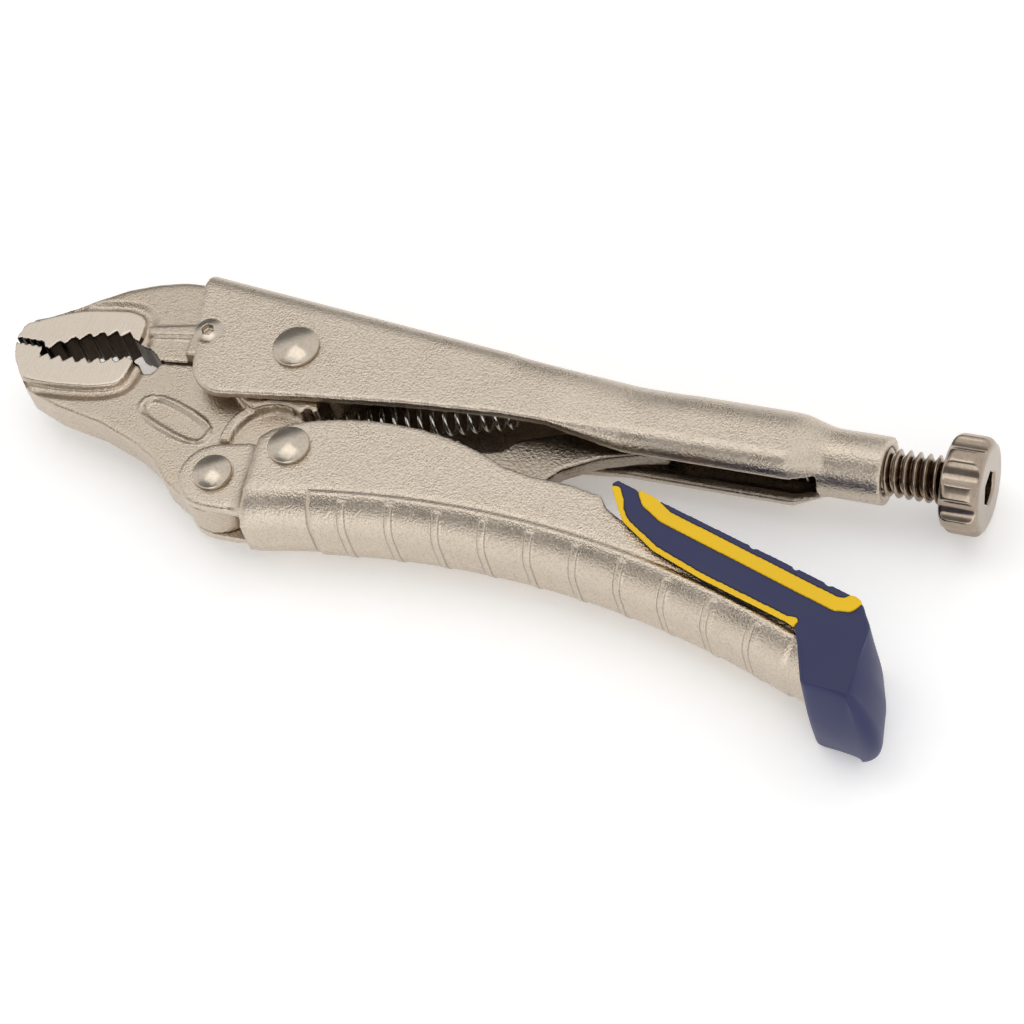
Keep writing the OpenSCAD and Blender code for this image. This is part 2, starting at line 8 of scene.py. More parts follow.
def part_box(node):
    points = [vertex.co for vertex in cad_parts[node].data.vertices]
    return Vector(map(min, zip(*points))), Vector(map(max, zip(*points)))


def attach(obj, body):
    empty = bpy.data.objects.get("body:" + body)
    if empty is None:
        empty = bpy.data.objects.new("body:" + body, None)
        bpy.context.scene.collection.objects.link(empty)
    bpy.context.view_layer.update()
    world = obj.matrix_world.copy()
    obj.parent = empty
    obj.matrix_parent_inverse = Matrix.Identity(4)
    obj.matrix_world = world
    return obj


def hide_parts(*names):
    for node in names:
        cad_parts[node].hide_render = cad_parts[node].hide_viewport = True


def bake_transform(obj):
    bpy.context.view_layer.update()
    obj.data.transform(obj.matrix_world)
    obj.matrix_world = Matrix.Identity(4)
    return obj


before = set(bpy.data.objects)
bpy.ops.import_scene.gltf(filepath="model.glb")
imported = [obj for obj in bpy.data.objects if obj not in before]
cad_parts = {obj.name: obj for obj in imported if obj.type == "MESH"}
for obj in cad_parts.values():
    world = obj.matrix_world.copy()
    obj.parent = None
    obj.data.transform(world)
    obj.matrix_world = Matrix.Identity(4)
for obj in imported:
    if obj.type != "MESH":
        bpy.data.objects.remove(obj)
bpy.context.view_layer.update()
mm = 0.001
# vertices closer than this are joined
weld = 0.002 * mm

# all drawing below is in millimetres from the jaw pivot, z from the tool's middle plane
pivot = sum(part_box("jaw_pivot_rivet"), Vector()) / 2
pivot.z = sum(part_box("fixed_handle"), Vector()).z / 2
wallZ = (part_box("fixed_handle")[1].z - pivot.z) / mm
halfGrip = pivot.z / mm


def place(x, y, z=0.0):
    return pivot + Vector((x, y, z)) * mm


def newPiece(name, bm):
    mesh = bpy.data.meshes.new(name)
    bm.to_mesh(mesh)
    bm.free()
    piece = bpy.data.objects.new(name, mesh)
    bpy.context.scene.collection.objects.link(piece)
    return piece


def applied(piece):
    # bakes the piece's modifiers into its mesh
    depsgraph = bpy.context.evaluated_depsgraph_get()
    mesh = bpy.data.meshes.new_from_object(piece.evaluated_get(depsgraph))
    piece.modifiers.clear()
    piece.data = mesh
    mesh.name = piece.name
    return piece


def remeshedCopy(node, name, voxel):
    # the node's own shape in small even faces, ready for its edges to be worn round
    bm = bmesh.new()
    bm.from_mesh(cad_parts[node].data)
    bmesh.ops.remove_doubles(bm, verts=bm.verts, dist=weld)
    piece = newPiece(name, bm)
    remesh = piece.modifiers.new("remesh", "REMESH")
    remesh.mode = "VOXEL"
    remesh.voxel_size = voxel * mm
    return applied(piece)


def drawn(piece):
    # vertex places in drawing millimetres
    co = np.empty(len(piece.data.vertices) * 3, np.float32)
    piece.data.vertices.foreach_get("co", co)
    return co.reshape(-1, 3).astype(float) / mm - np.array(pivot) / mm


def redraw(piece, co):
    piece.data.vertices.foreach_set("co", ((co * mm) + np.array(pivot)).astype(np.float32).ravel())
    piece.data.update()


def soften(piece, passes, where=None, factor=0.5):
    # rounds edges off, over the whole piece or only where the test on x, y, z says
    bm = bmesh.new()
    bm.from_mesh(piece.data)
    verts = bm.verts[:]
    if where is not None:
        keep = where(*drawn(piece).T)
        verts = [v for v, k in zip(verts, keep) if k]
    for i in range(passes):
        bmesh.ops.smooth_vert(bm, verts=verts, factor=factor,
                              use_axis_x=True, use_axis_y=True, use_axis_z=True)
    bm.to_mesh(piece.data)
    bm.free()


def smooth(piece):
    piece.data.polygons.foreach_set("use_smooth", [True] * len(piece.data.polygons))
    piece.data.update()
    return piece


def ramp(value, low, high):
    t = np.clip((value - low) / (high - low), 0, 1)
    return t * t * (3 - 2 * t)


def lineDistance(x, y, points):
    # distance from each x, y to an open line through the points
    best = np.full(len(x), 1e9)
    for (ax, ay), (bx, by) in zip(points, points[1:]):
        dx, dy = bx - ax, by - ay
        t = np.clip(((x - ax) * dx + (y - ay) * dy) / (dx * dx + dy * dy), 0, 1)
        best = np.minimum(best, np.hypot(x - ax - t * dx, y - ay - t * dy))
    return best


def inside(x, y, points):
    # true for each x, y inside the closed outline
    result = np.zeros(len(x), bool)
    for (ax, ay), (bx, by) in zip(points, points[1:] + points[:1]):
        crosses = (ay > y) != (by > y)
        at = ax + (y - ay) * (bx - ax) / (by - ay if by != ay else 1e-9)
        result ^= crosses & (x < at)
    return result


def lathed(name, profile, at, axis, steps=64):
    # turns a profile of (radius, height) about an axis through a drawn place
    bm = bmesh.new()
    turn = Vector((0, 0, 1)).rotation_difference(Vector(axis)).to_matrix()
    verts = [bm.verts.new(place(*at) + turn @ Vector((r, 0, h)) * mm) for r, h in profile]
    edges = [bm.edges.new(pair) for pair in zip(verts, verts[1:])]
    bmesh.ops.spin(bm, geom=verts + edges, cent=place(*at), axis=turn @ Vector((0, 0, 1)),
                   angle=2 * math.pi, steps=steps, use_merge=True, use_duplicate=False)
    bmesh.ops.remove_doubles(bm, verts=bm.verts, dist=weld)
    bmesh.ops.recalc_face_normals(bm, faces=bm.faces)
    return smooth(newPiece(name, bm))


def arcPoints(centre, radius, start, end, count):
    return [(centre[0] + radius * math.cos(math.radians(start + (end - start) * i / count)),
             centre[1] + radius * math.sin(math.radians(start + (end - start) * i / count)))
            for i in range(count + 1)]


def linear(hexColour):
    # sRGB hex to the linear values that the shader wants
    parts = [int(hexColour[i:i + 2], 16) / 255 for i in (1, 3, 5)]
    return tuple(c / 12.92 if c <= 0.04045 else ((c + 0.055) / 1.055) ** 2.4 for c in parts) + (1,)


def addNode(tree, kind, inputs=None, **settings):
    node = tree.nodes.new(kind)
    for key, value in settings.items():
        setattr(node, key, value)
    for key, value in (inputs or {}).items():
        socket = node.inputs[key]
        if isinstance(value, bpy.types.NodeSocket):
            tree.links.new(value, socket)
        else:
            socket.default_value = value
    return node


def newMaterial(name):
    material = bpy.data.materials.new(name)
    material.use_nodes = True
    tree = material.node_tree
    tree.nodes.clear()
    shader = addNode(tree, "ShaderNodeBsdfPrincipled")
    addNode(tree, "ShaderNodeOutputMaterial", {"Surface": shader.outputs["BSDF"]})
    return material, tree, shader


def perMetre(sizeMm):
    # texture scale that repeats once in this many millimetres
    return 1 / (sizeMm * mm)


def paintedRibShade(tree, look):
    # painted shade: one at both edges of each strap pressed across the lower handle's panel and at the
    # panel's front end, else zero; the darker lines stand in for the shade in those creases
    where = addNode(tree, "ShaderNodeTexCoord").outputs["Object"]
    centre = place(look["archX"], look["archY"])
    arm = addNode(tree, "ShaderNodeVectorMath", {0: where, 1: centre}, operation="SUBTRACT")
    parts = addNode(tree, "ShaderNodeSeparateXYZ", {0: arm.outputs["Vector"]}).outputs
    angle = addNode(tree, "ShaderNodeMath", {0: parts["X"], 1: parts["Y"]}, operation="ARCTAN2").outputs[0]
    first = (look["firstRib"] - look["archX"]) / look["archR"]
    step = look["ribStep"] / look["archR"]
    turned = addNode(tree, "ShaderNodeMath", {0: angle, 1: step / 2 - first}, operation="ADD").outputs[0]
    count = addNode(tree, "ShaderNodeMath", {0: turned, 1: step}, operation="DIVIDE").outputs[0]
    share = addNode(tree, "ShaderNodeMath", {0: count}, operation="FRACT").outputs[0]
    fromMiddle = addNode(tree, "ShaderNodeMath", {0: share, 1: 0.5}, operation="SUBTRACT").outputs[0]
    away = addNode(tree, "ShaderNodeMath", {0: fromMiddle}, operation="ABSOLUTE").outputs[0]
    half = look["ribWidth"] / 2 / look["ribStep"]
    line = look["lineWidth"] / look["ribStep"]
    offLine = addNode(tree, "ShaderNodeMath", {0: away, 1: half}, operation="SUBTRACT").outputs[0]
    gap = addNode(tree, "ShaderNodeMath", {0: offLine}, operation="ABSOLUTE").outputs[0]
    mark = addNode(tree, "ShaderNodeMapRange", {
        "Value": gap, "From Min": 0.0, "From Max": line, "To Min": 1.0, "To Max": 0.0}).outputs["Result"]
    inRow = addNode(tree, "ShaderNodeMath", {0: count, 1: look["ribs"] / 2, 2: look["ribs"] / 2},
                    operation="COMPARE").outputs[0]
    flat = addNode(tree, "ShaderNodeCombineXYZ", {"X": parts["X"], "Y": parts["Y"]}).outputs[0]
    reach = addNode(tree, "ShaderNodeVectorMath", {0: flat}, operation="LENGTH").outputs["Value"]
    top = (look["archR"] + look["height"] - look["markDrop"]) * mm
    onPanel = addNode(tree, "ShaderNodeMapRange", {
        "Value": reach, "From Min": top - look["markFade"] * mm, "From Max": top,
        "To Min": 1.0, "To Max": 0.0}).outputs["Result"]
    kept = addNode(tree, "ShaderNodeMath", {0: mark, 1: inRow}, operation="MULTIPLY").outputs[0]
    front = (look["frontLine"] - look["archX"]) / look["archR"]
    offFront = addNode(tree, "ShaderNodeMath", {0: angle, 1: front}, operation="SUBTRACT").outputs[0]
    frontGap = addNode(tree, "ShaderNodeMath", {0: offFront}, operation="ABSOLUTE").outputs[0]
    frontMark = addNode(tree, "ShaderNodeMapRange", {
        "Value": frontGap, "From Min": 0.0, "From Max": look["frontLineWidth"] / look["archR"],
        "To Min": 1.0, "To Max": 0.0}).outputs["Result"]
    kept = addNode(tree, "ShaderNodeMath", {0: kept, 1: frontMark}, operation="MAXIMUM").outputs[0]
    return addNode(tree, "ShaderNodeMath", {0: kept, 1: onPanel}, operation="MULTIPLY").outputs[0]


def satinNickel(name, look, lines=None):
    # nickel plate over tumbled steel: a dull satin metal with a fine orange-peel skin, whose
    # pebbles are drawn about twice their real width so that they show
    material, tree, shader = newMaterial(name)
    where = addNode(tree, "ShaderNodeTexCoord").outputs["Object"]
    pebbles = addNode(tree, "ShaderNodeTexNoise", {
        "Vector": where, "Scale": perMetre(look["grain"]), "Detail": 2.0, "Roughness": 0.55})
    patches = addNode(tree, "ShaderNodeTexNoise", {
        "Vector": where, "Scale": perMetre(look["patch"]), "Detail": 3.0, "Roughness": 0.5})
    tone = addNode(tree, "ShaderNodeMix", {
        0: patches.outputs["Fac"], 6: linear(look["dark"]), 7: linear(look["light"])}, data_type="RGBA")
    speck = addNode(tree, "ShaderNodeMapRange", {
        "Value": pebbles.outputs["Fac"], "From Min": 0.25, "From Max": 0.55,
        "To Min": look["speck"], "To Max": 1.0})
    colour = addNode(tree, "ShaderNodeMix", {
        0: 1.0, 6: tone.outputs[2], 7: speck.outputs["Result"]}, data_type="RGBA", blend_type="MULTIPLY")
    rough = addNode(tree, "ShaderNodeMapRange", {
        "Value": patches.outputs["Fac"], "From Min": 0.3, "From Max": 0.7,
        "To Min": look["rough"] - 0.05, "To Max": look["rough"] + 0.05})
    bump = addNode(tree, "ShaderNodeBump", {
        "Height": pebbles.outputs["Fac"], "Strength": look["bump"], "Distance": look["depth"] * mm})
    if lines is not None:
        # painted shade: the straps' edges and the panel's front end are darkened towards a brown-grey
        mark = paintedRibShade(tree, lines)
        shade = addNode(tree, "ShaderNodeMath", {0: mark, 1: lines["paintedShadeStrength"]},
                        operation="MULTIPLY").outputs[0]
        colour = addNode(tree, "ShaderNodeMix", {
            0: shade, 6: colour.outputs[2], 7: linear(lines["paintedShadeColour"])}, data_type="RGBA")
        bump = addNode(tree, "ShaderNodeBump", {
            "Height": mark, "Strength": 1.0, "Distance": lines["lineDepth"] * mm,
            "Normal": bump.outputs["Normal"]}, invert=True)
    tree.links.new(colour.outputs[2], shader.inputs["Base Color"])
    tree.links.new(rough.outputs["Result"], shader.inputs["Roughness"])
    tree.links.new(bump.outputs["Normal"], shader.inputs["Normal"])
    shader.inputs["Metallic"].default_value = 1.0
    return material


def groundNickel(name, look):
    # plated after grinding: straight scratches across the nose, brighter than the skin round it,
    # and drawn a few times their real width so that they show
    material, tree, shader = newMaterial(name)
    where = addNode(tree, "ShaderNodeTexCoord").outputs["Object"]
    stretch = addNode(tree, "ShaderNodeMapping", {
        "Vector": where, "Rotation": (0, 0, math.radians(look["lean"])),
        "Scale": (1, 1 / look["length"], 1 / look["length"])})
    scratches = addNode(tree, "ShaderNodeTexNoise", {
        "Vector": stretch.outputs["Vector"], "Scale": perMetre(look["width"]),
        "Detail": 3.0, "Roughness": 0.6})
    tone = addNode(tree, "ShaderNodeMix", {
        0: scratches.outputs["Fac"], 6: linear(look["dark"]), 7: linear(look["light"])}, data_type="RGBA")
    rough = addNode(tree, "ShaderNodeMapRange", {
        "Value": scratches.outputs["Fac"], "From Min": 0.3, "From Max": 0.7,
        "To Min": look["rough"] - 0.04, "To Max": look["rough"] + 0.06})
    bump = addNode(tree, "ShaderNodeBump", {
        "Height": scratches.outputs["Fac"], "Strength": look["bump"], "Distance": look["depth"] * mm})
    tree.links.new(tone.outputs[2], shader.inputs["Base Color"])
    tree.links.new(rough.outputs["Result"], shader.inputs["Roughness"])
    tree.links.new(bump.outputs["Normal"], shader.inputs["Normal"])
    shader.inputs["Metallic"].default_value = 1.0
    return material


def mouldedPlastic(name, look):
    # injection-moulded plastic with a fine spark-eroded texture, drawn coarser than it is: soft
    # broad highlights
    material, tree, shader = newMaterial(name)
    where = addNode(tree, "ShaderNodeTexCoord").outputs["Object"]
    grain = addNode(tree, "ShaderNodeTexNoise", {
        "Vector": where, "Scale": perMetre(look["grain"]), "Detail": 2.0, "Roughness": 0.6})
    cloud = addNode(tree, "ShaderNodeTexNoise", {
        "Vector": where, "Scale": perMetre(look["patch"]), "Detail": 2.0, "Roughness": 0.5})
    tone = addNode(tree, "ShaderNodeMix", {
        0: cloud.outputs["Fac"], 6: linear(look["dark"]), 7: linear(look["light"])}, data_type="RGBA")
    rough = addNode(tree, "ShaderNodeMapRange", {
        "Value": cloud.outputs["Fac"], "From Min": 0.3, "From Max": 0.7,
        "To Min": look["rough"] - 0.05, "To Max": look["rough"] + 0.05})
    bump = addNode(tree, "ShaderNodeBump", {
        "Height": grain.outputs["Fac"], "Strength": look["bump"], "Distance": look["depth"] * mm})
    tree.links.new(tone.outputs[2], shader.inputs["Base Color"])
    tree.links.new(rough.outputs["Result"], shader.inputs["Roughness"])
    tree.links.new(bump.outputs["Normal"], shader.inputs["Normal"])
    shader.inputs["IOR"].default_value = 1.49
    return material


lowerHandleLook = dict(
    voxel=0.3, passes=3, joggle=(-1.5, 3.2), joggleSide=2.9, jogglePasses=22,
    archX=29.0, archY=-146.8, archR=124.0, bend=4.6, half=6.1,
    front=10.0, rear=76.0, height=3.7, border=0.6, rise=0.35, skin=0.5, overTop=0.9, overEnd=1.0,
    ribs=10, firstRib=14.6, ribStep=6.3, ribWidth=1.0, ribBlur=0.15, ribRise=0.12, ribFade=(1.2, 1.8),
    ribInside=0.99,
    # painted shade lines at the straps' edges and the panel's front end: width, strength, colour, bump depth
    lineWidth=0.14, paintedShadeStrength=0.55, paintedShadeColour="#6B5F52", lineDepth=0.05,
    frontLine=9.9, frontLineWidth=0.224, markDrop=1.6, markFade=0.4)

pressedSteel = dict(
    light="#D6C9B9", dark="#C8BAA8", grain=0.27, patch=5.0, speck=0.72, rough=0.29, bump=1.0, depth=0.09)
handleSkin = satinNickel("nickelPlatedPressing", pressedSteel)
# the panel's nickel carries painted shade lines along its straps and front end
panelSkin = satinNickel("nickelPanelPaintedShade", pressedSteel, lowerHandleLook)
jawSkin = satinNickel("nickelPlatedForging", dict(
    light="#CFC1B0", dark="#BFB09E", grain=0.25, patch=4.0, speck=0.75, rough=0.28, bump=1.0, depth=0.07))
linkSkin = satinNickel("nickelPlatedLink", dict(
    light="#B9AD9E", dark="#988C7E", grain=0.42, patch=3.0, speck=0.7, rough=0.26, bump=1.0, depth=0.08))
rivetSkin = satinNickel("burnishedRivetHead", dict(
    light="#C9BEAF", dark="#B5A999", grain=0.5, patch=2.0, speck=0.9, rough=0.2, bump=0.6, depth=0.02))
screwSkin = satinNickel("platedTurnedSteel", dict(
    light="#B4A595", dark="#928374", grain=0.35, patch=2.0, speck=0.86, rough=0.15, bump=0.3, depth=0.01))
wireSkin = satinNickel("brightSpringWire", dict(
    light="#E2E0DC", dark="#CFCCC6", grain=0.3, patch=1.5, speck=0.95, rough=0.12, bump=0.2, depth=0.005))
noseSkin = groundNickel("nickelOverGroundSteel", dict(
    light="#DED2C4", dark="#CCBFAF", lean=8, length=12, width=0.2, rough=0.27, bump=0.8, depth=0.014))
# painted shade: a near-black brown for the walls of the jaws' mouth, which lie in shade
mouthShadeSkin = groundNickel("mouthWallShade", dict(
    light="#4C4136", dark="#2B241E", lean=0, length=4, width=0.3, rough=0.35, bump=0.6, depth=0.03))
yellowSkin = mouldedPlastic("yellowPolypropylene", dict(
    light="#F2C600", dark="#E9B900", grain=0.25, patch=6.0, rough=0.55, bump=0.25, depth=0.01))
blueSkin = mouldedPlastic("blueElastomer", dict(
    light="#272B58", dark="#22264C", grain=0.3, patch=7.0, rough=0.5, bump=0.4, depth=0.015))


def finishPiece(piece, skin, body, slot, *nodes):
    if skin is not None:
        piece.data.materials.clear()
        piece.data.materials.append(skin)
    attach(piece, body)
    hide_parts(*nodes)
    return piece


print("stage: materials")


fixedHandleLook = dict(voxel=0.3, passes=3, above=-2.2, shoulder=(29, 53), shoulderPasses=60,
                       neck=(65, 75), neckPasses=20)


def makeFixedHandle(look):
    piece = remeshedCopy("fixed_handle", "fixedHandle", look["voxel"])
    # the flat front runs into the round barrel, and the barrel into the tube, without an edge
    for part in ("shoulder", "neck"):
        start, end = look[part]
        soften(piece, look[part + "Passes"], lambda x, y, z: (x > start) & (x < end) & (y > look["above"]))
    soften(piece, look["passes"])
    return finishPiece(smooth(piece), handleSkin, "fixed_side", "handles", "fixed_handle")


makeFixedHandle(fixedHandleLook)


def makeLowerHandle(look):
    piece = remeshedCopy("lower_handle", "lowerHandle", look["voxel"])
    start, end = look["joggle"]
    soften(piece, look["jogglePasses"],
           lambda x, y, z: (x > start) & (x < end) & (np.abs(z) > look["joggleSide"]))
    soften(piece, look["passes"])
    co = drawn(piece)
    dx, dy = co[:, 0] - look["archX"], co[:, 1] - look["archY"]
    reach = np.hypot(dx, dy)
    along = look["archX"] + look["archR"] * dx / reach
    # how far each vertex stands outside the plain folded channel
    up = np.minimum(reach - look["archR"] - look["bend"], 0)
    across = np.maximum(np.abs(co[:, 2]) - look["half"] + look["bend"], 0)
    bendAt = np.maximum(np.hypot(up, across), 1e-6)
    out = bendAt - look["bend"]
    below = look["archR"] + look["height"] - reach
    panel = np.clip(below / look["border"], 0, 1)
    panel = np.minimum(panel, np.clip((along - look["front"]) / look["border"], 0, 1))
    panel = np.minimum(panel, np.clip((look["rear"] - along) / look["border"], 0, 1))
    # thin straps pressed across the panel, which fade out below its upper border
    nearest = np.clip(np.round((along - look["firstRib"]) / look["ribStep"]), 0, look["ribs"] - 1)
    fromRib = np.abs(along - look["firstRib"] - nearest * look["ribStep"])
    edge, blur = look["ribWidth"] / 2, look["ribBlur"]
    rib = (1 - ramp(fromRib, edge - blur, edge + blur)) * ramp(below, *look["ribFade"])
    move = look["rise"] * panel + look["ribRise"] * rib * (panel > look["ribInside"]) - out
    touched = (out > -look["skin"]) & (below > -look["overTop"])
    touched &= (along > look["front"] - look["overEnd"]) & (along < look["rear"] + look["overEnd"])
    move = np.where(touched, move, 0)
    newReach = reach + move * up / bendAt
    co[:, 0] = look["archX"] + dx / reach * newReach
    co[:, 1] = look["archY"] + dy / reach * newReach
    co[:, 2] += np.sign(co[:, 2]) * move * across / bendAt
    redraw(piece, co)
    return finishPiece(smooth(piece), panelSkin, "handle", "handles", "lower_handle")


makeLowerHandle(lowerHandleLook)
print("stage: handles")


jawLook = dict(
    voxel=0.2, passes=2, side=2.3, face=3, noseEnd=-24, upperSoft=-0.2, lowerSoft=-6,
    back=(-37, 2.6), backSlope=0.12, backEnd=-17, backPasses=40, lowerEdgePasses=14, lowerEdgeWidth=1.5,
    grooveIn=(-0.1, 0.3), upperGroove=0.45, upperGrooveOut=(0.8, 2.0), upperGrooveEnd=-21.5,
    lowerGroove=0.63, lowerGrooveOut=(1.0, 2.3), lowerGrooveEnd=-19.8,
    groundFrom=2.7, groundFacing=0.8, wallFacing=0.6,
    upperFlat=[(-42.3, -6), (-42.3, -1.4), (-39.9, -0.4), (-38.4, 0.6), (-34, 2.6), (-30, 3.3), (-27, 3.7),
               (-25.2, 3.4), (-24, 2.2), (-23.6, -6)],
    lowerFlat=[(-42.3, -2), (-42.3, -8.6), (-37, -9.7), (-32, -9.5), (-27.6, -9), (-24.4, -8), (-23.6, -6.6),
               (-23.4, -2)],
    mouth=[(-41.6, -4.6), (-41.6, -2.8), (-37.6, -2.6), (-25.6, 1.2), (-23.4, -0.2), (-19.4, -2.0),
           (-19.4, -4.2), (-23.6, -4.2), (-23.8, -6.6), (-37.6, -6.6)],
    lowerEdge=[(-39, -8.6), (-36.9, -10.8), (-31.8, -12.7), (-24.5, -14.1), (-18.5, -16.2), (-15, -18.1),
               (-11.8, -21.2)],
    stamp=[(-20.7, -12.0), (-19.0, -7.4), (-7.5, -11.4), (-9.2, -16.0)],
    rimWidth=0.9, rimRise=0.3, rimShift=0.5, rimFade=(0.25, 0.6),
    ring=(0.3, -13.2), ringIn=5.4, ringOut=7.0, ringSlope=0.3, ringRise=1.1,
    ringEnd=(2, -6.5), ringFade=(-14.6, -14.0))


def roundedOutline(points, passes=2):
    # cuts the corners of a closed outline
    for i in range(passes):
        points = [(ax + (bx - ax) * t, ay + (by - ay) * t)
                  for (ax, ay), (bx, by) in zip(points, points[1:] + points[:1]) for t in (0.25, 0.75)]
    return points


def outsideOf(x, y, outline):
    # distance out from a closed outline, below zero inside it
    distance = lineDistance(x, y, outline + outline[:1])
    return np.where(inside(x, y, outline), -distance, distance)


def raiseSides(piece, look, riseAt):
    # lifts or sinks both flat sides of a jaw alike
    co = drawn(piece)
    side = np.abs(co[:, 2]) > look["side"]
    co[:, 2] += np.where(side, np.sign(co[:, 2]) * riseAt(co[:, 0], co[:, 1], np.abs(co[:, 2])), 0)
    redraw(piece, co)


def jawSkins(piece, look, flat):
    # ground flats have their own finish; the walls of the mouth get a near-black brown, which is painted
    # shade
    count = len(piece.data.polygons)
    centre, normal = np.empty(count * 3, np.float32), np.empty(count * 3, np.float32)
    piece.data.polygons.foreach_get("center", centre)
    piece.data.polygons.foreach_get("normal", normal)
    x, y, z = (centre.reshape(-1, 3) / mm - np.array(pivot) / mm).T
    facing = np.abs(normal.reshape(-1, 3)[:, 2])
    ground = inside(x, y, flat) & (np.abs(z) > look["groundFrom"]) & (facing > look["groundFacing"])
    # the mouth's walls, which get the painted shade
    mouthWalls = inside(x, y, look["mouth"]) & (facing < look["wallFacing"])
    piece.data.materials.clear()
    for skin in (jawSkin, noseSkin, mouthShadeSkin):
        piece.data.materials.append(skin)
    piece.data.polygons.foreach_set("material_index", (ground * 1 + mouthWalls * 2).astype(np.int32))
    piece.data.update()


def makeFixedJaw(look):
    piece = remeshedCopy("fixed_jaw", "fixedJaw", look["voxel"])
    backX, backY = look["back"]
    soften(piece, look["backPasses"],
           lambda x, y, z: (x < look["backEnd"]) & (y > backY + (x - backX) * look["backSlope"]))
    soften(piece, look["passes"], lambda x, y, z: (y > look["upperSoft"]) | (x > look["noseEnd"]))

    def groove(x, y, z):
        away = outsideOf(x, y, roundedOutline(look["upperFlat"]))
        dip = ramp(away, *look["grooveIn"]) * (1 - ramp(away, *look["upperGrooveOut"]))
        return -look["upperGroove"] * dip * (x < look["upperGrooveEnd"]) * (z < look["face"])

    raiseSides(piece, look, groove)
    jawSkins(piece, look, roundedOutline(look["upperFlat"]))
    return finishPiece(smooth(piece), None, "fixed_side", "jaws", "fixed_jaw")


def makeMovingJaw(look):
    piece = remeshedCopy("moving_jaw", "movingJaw", look["voxel"])
    soften(piece, look["lowerEdgePasses"],
           lambda x, y, z: lineDistance(x, y, look["lowerEdge"]) < look["lowerEdgeWidth"])
    soften(piece, look["passes"], lambda x, y, z: (y < look["lowerSoft"]) | (x > look["noseEnd"]))

    def relief(x, y, z):
        away = outsideOf(x, y, roundedOutline(look["lowerFlat"]))
        dip = ramp(away, *look["grooveIn"]) * (1 - ramp(away, *look["lowerGrooveOut"]))
        rise = -look["lowerGroove"] * dip * (x < look["lowerGrooveEnd"])
        # blank panel with a raised rim
        rim = np.abs(outsideOf(x, y, roundedOutline(look["stamp"])) / look["rimWidth"] + look["rimShift"])
        rise += look["rimRise"] * (1 - ramp(rim, *look["rimFade"]))
        # round wall that stands behind the ears
        fromRing = np.hypot(x - look["ring"][0], y - look["ring"][1])
        wall = ramp(fromRing, look["ringIn"] - look["ringSlope"], look["ringIn"])
        wall *= 1 - ramp(fromRing, look["ringOut"] - look["ringSlope"], look["ringOut"])
        endX, endY = look["ringEnd"]
        rise += look["ringRise"] * wall * ramp(y, *look["ringFade"]) * (x < endX) * (y < endY)
        return rise * (z < look["face"])

    raiseSides(piece, look, relief)
    jawSkins(piece, look, roundedOutline(look["lowerFlat"]))
    return finishPiece(smooth(piece), None, "jaw", "jaws", "moving_jaw")


makeFixedJaw(jawLook)
makeMovingJaw(jawLook)
print("stage: jaws")


linkLook = dict(voxel=0.25, passes=5)


def makeLink(look):
    piece = remeshedCopy("toggle_link", "toggleLink", look["voxel"])
    soften(piece, look["passes"])
    return finishPiece(smooth(piece), linkSkin, "link", "link", "toggle_link")


leverLook = dict(voxel=0.2, passes=5, sharpBore=2.4)


def makeLever(look):
    piece = remeshedCopy("release_lever", "releaseLever", look["voxel"])
    pin = (sum(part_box("lever_pivot_pin"), Vector()) / 2 - pivot) / mm
    soften(piece, look["passes"], lambda x, y, z: np.hypot(x - pin.x, y - pin.y) > look["sharpBore"])
    return finishPiece(smooth(piece), linkSkin, "lever", "lever_steel", "release_lever")


makeLink(linkLook)
makeLever(leverLook)
# the hidden pin keeps its drawn shape
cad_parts["lever_pivot_pin"].data.materials.clear()
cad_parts["lever_pivot_pin"].data.materials.append(rivetSkin)
print("stage: link and lever")


def makeRivet(name, node, look, body):
    low, high = ((corner - pivot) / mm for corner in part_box(node))
    at = (low + high) / 2
    ball = (look["head"] ** 2 + look["rise"] ** 2) / (2 * look["rise"])
    sweep = math.degrees(math.asin(look["head"] / ball))
    face = look["face"]
    top = face + look["step"] + look["rise"]
    head = arcPoints((0, top - ball), ball, 90, 90 - sweep, look["arcSteps"])
    profile = [(max(r, 0.0), h) for r, h in head]
    # the button's side, the shank through the walls, and the flat tail
    sunk, corner, bevel = look["sunk"], look["corner"], look["bevel"]
    profile += [(look["head"] + look["bulge"], face + look["step"] * look["bulgeAt"])]
    profile += [(look["head"] - sunk, face - sunk)]
    profile += [(look["shank"], face - corner), (look["shank"], -face + corner)]
    profile += [(look["tail"] - corner, -face + sunk), (look["tail"], -face - corner)]
    profile += [(look["tail"], low.z + bevel), (look["tail"] - bevel, low.z), (0, low.z)]
    piece = lathed(name, profile, (at.x, at.y, 0), (0, 0, 1))
    return finishPiece(piece, rivetSkin, body, "rivets", node)


rivetEdges = dict(arcSteps=14, bulge=0.02, bulgeAt=0.4, sunk=0.05, corner=0.1, bevel=0.25)
jawRivetLook = dict(rivetEdges, head=3.1, rise=0.65, step=0.6, shank=2.1, tail=3.1, face=wallZ)
earRivetLook = dict(rivetEdges, head=2.6, rise=0.6, step=0.65, shank=1.7, tail=2.6, face=4.1)
linkRivetLook = dict(rivetEdges, head=2.75, rise=0.6, step=0.65, shank=1.7, tail=2.75, face=wallZ)
fixingRivetLook = dict(voxel=0.1, passes=1)

makeRivet("jawPivotRivet", "jaw_pivot_rivet", jawRivetLook, "fixed_side")
makeRivet("handlePivotRivet", "handle_pivot_rivet", earRivetLook, "handle")
makeRivet("linkPivotRivet", "link_pivot_rivet", linkRivetLook, "handle")


def makeFixingRivet(look):
    piece = remeshedCopy("jaw_fixing_rivet", "jawFixingRivet", look["voxel"])
    soften(piece, look["passes"])
    return finishPiece(smooth(piece), rivetSkin, "fixed_side", "rivets", "jaw_fixing_rivet")


makeFixingRivet(fixingRivetLook)
print("stage: rivets")


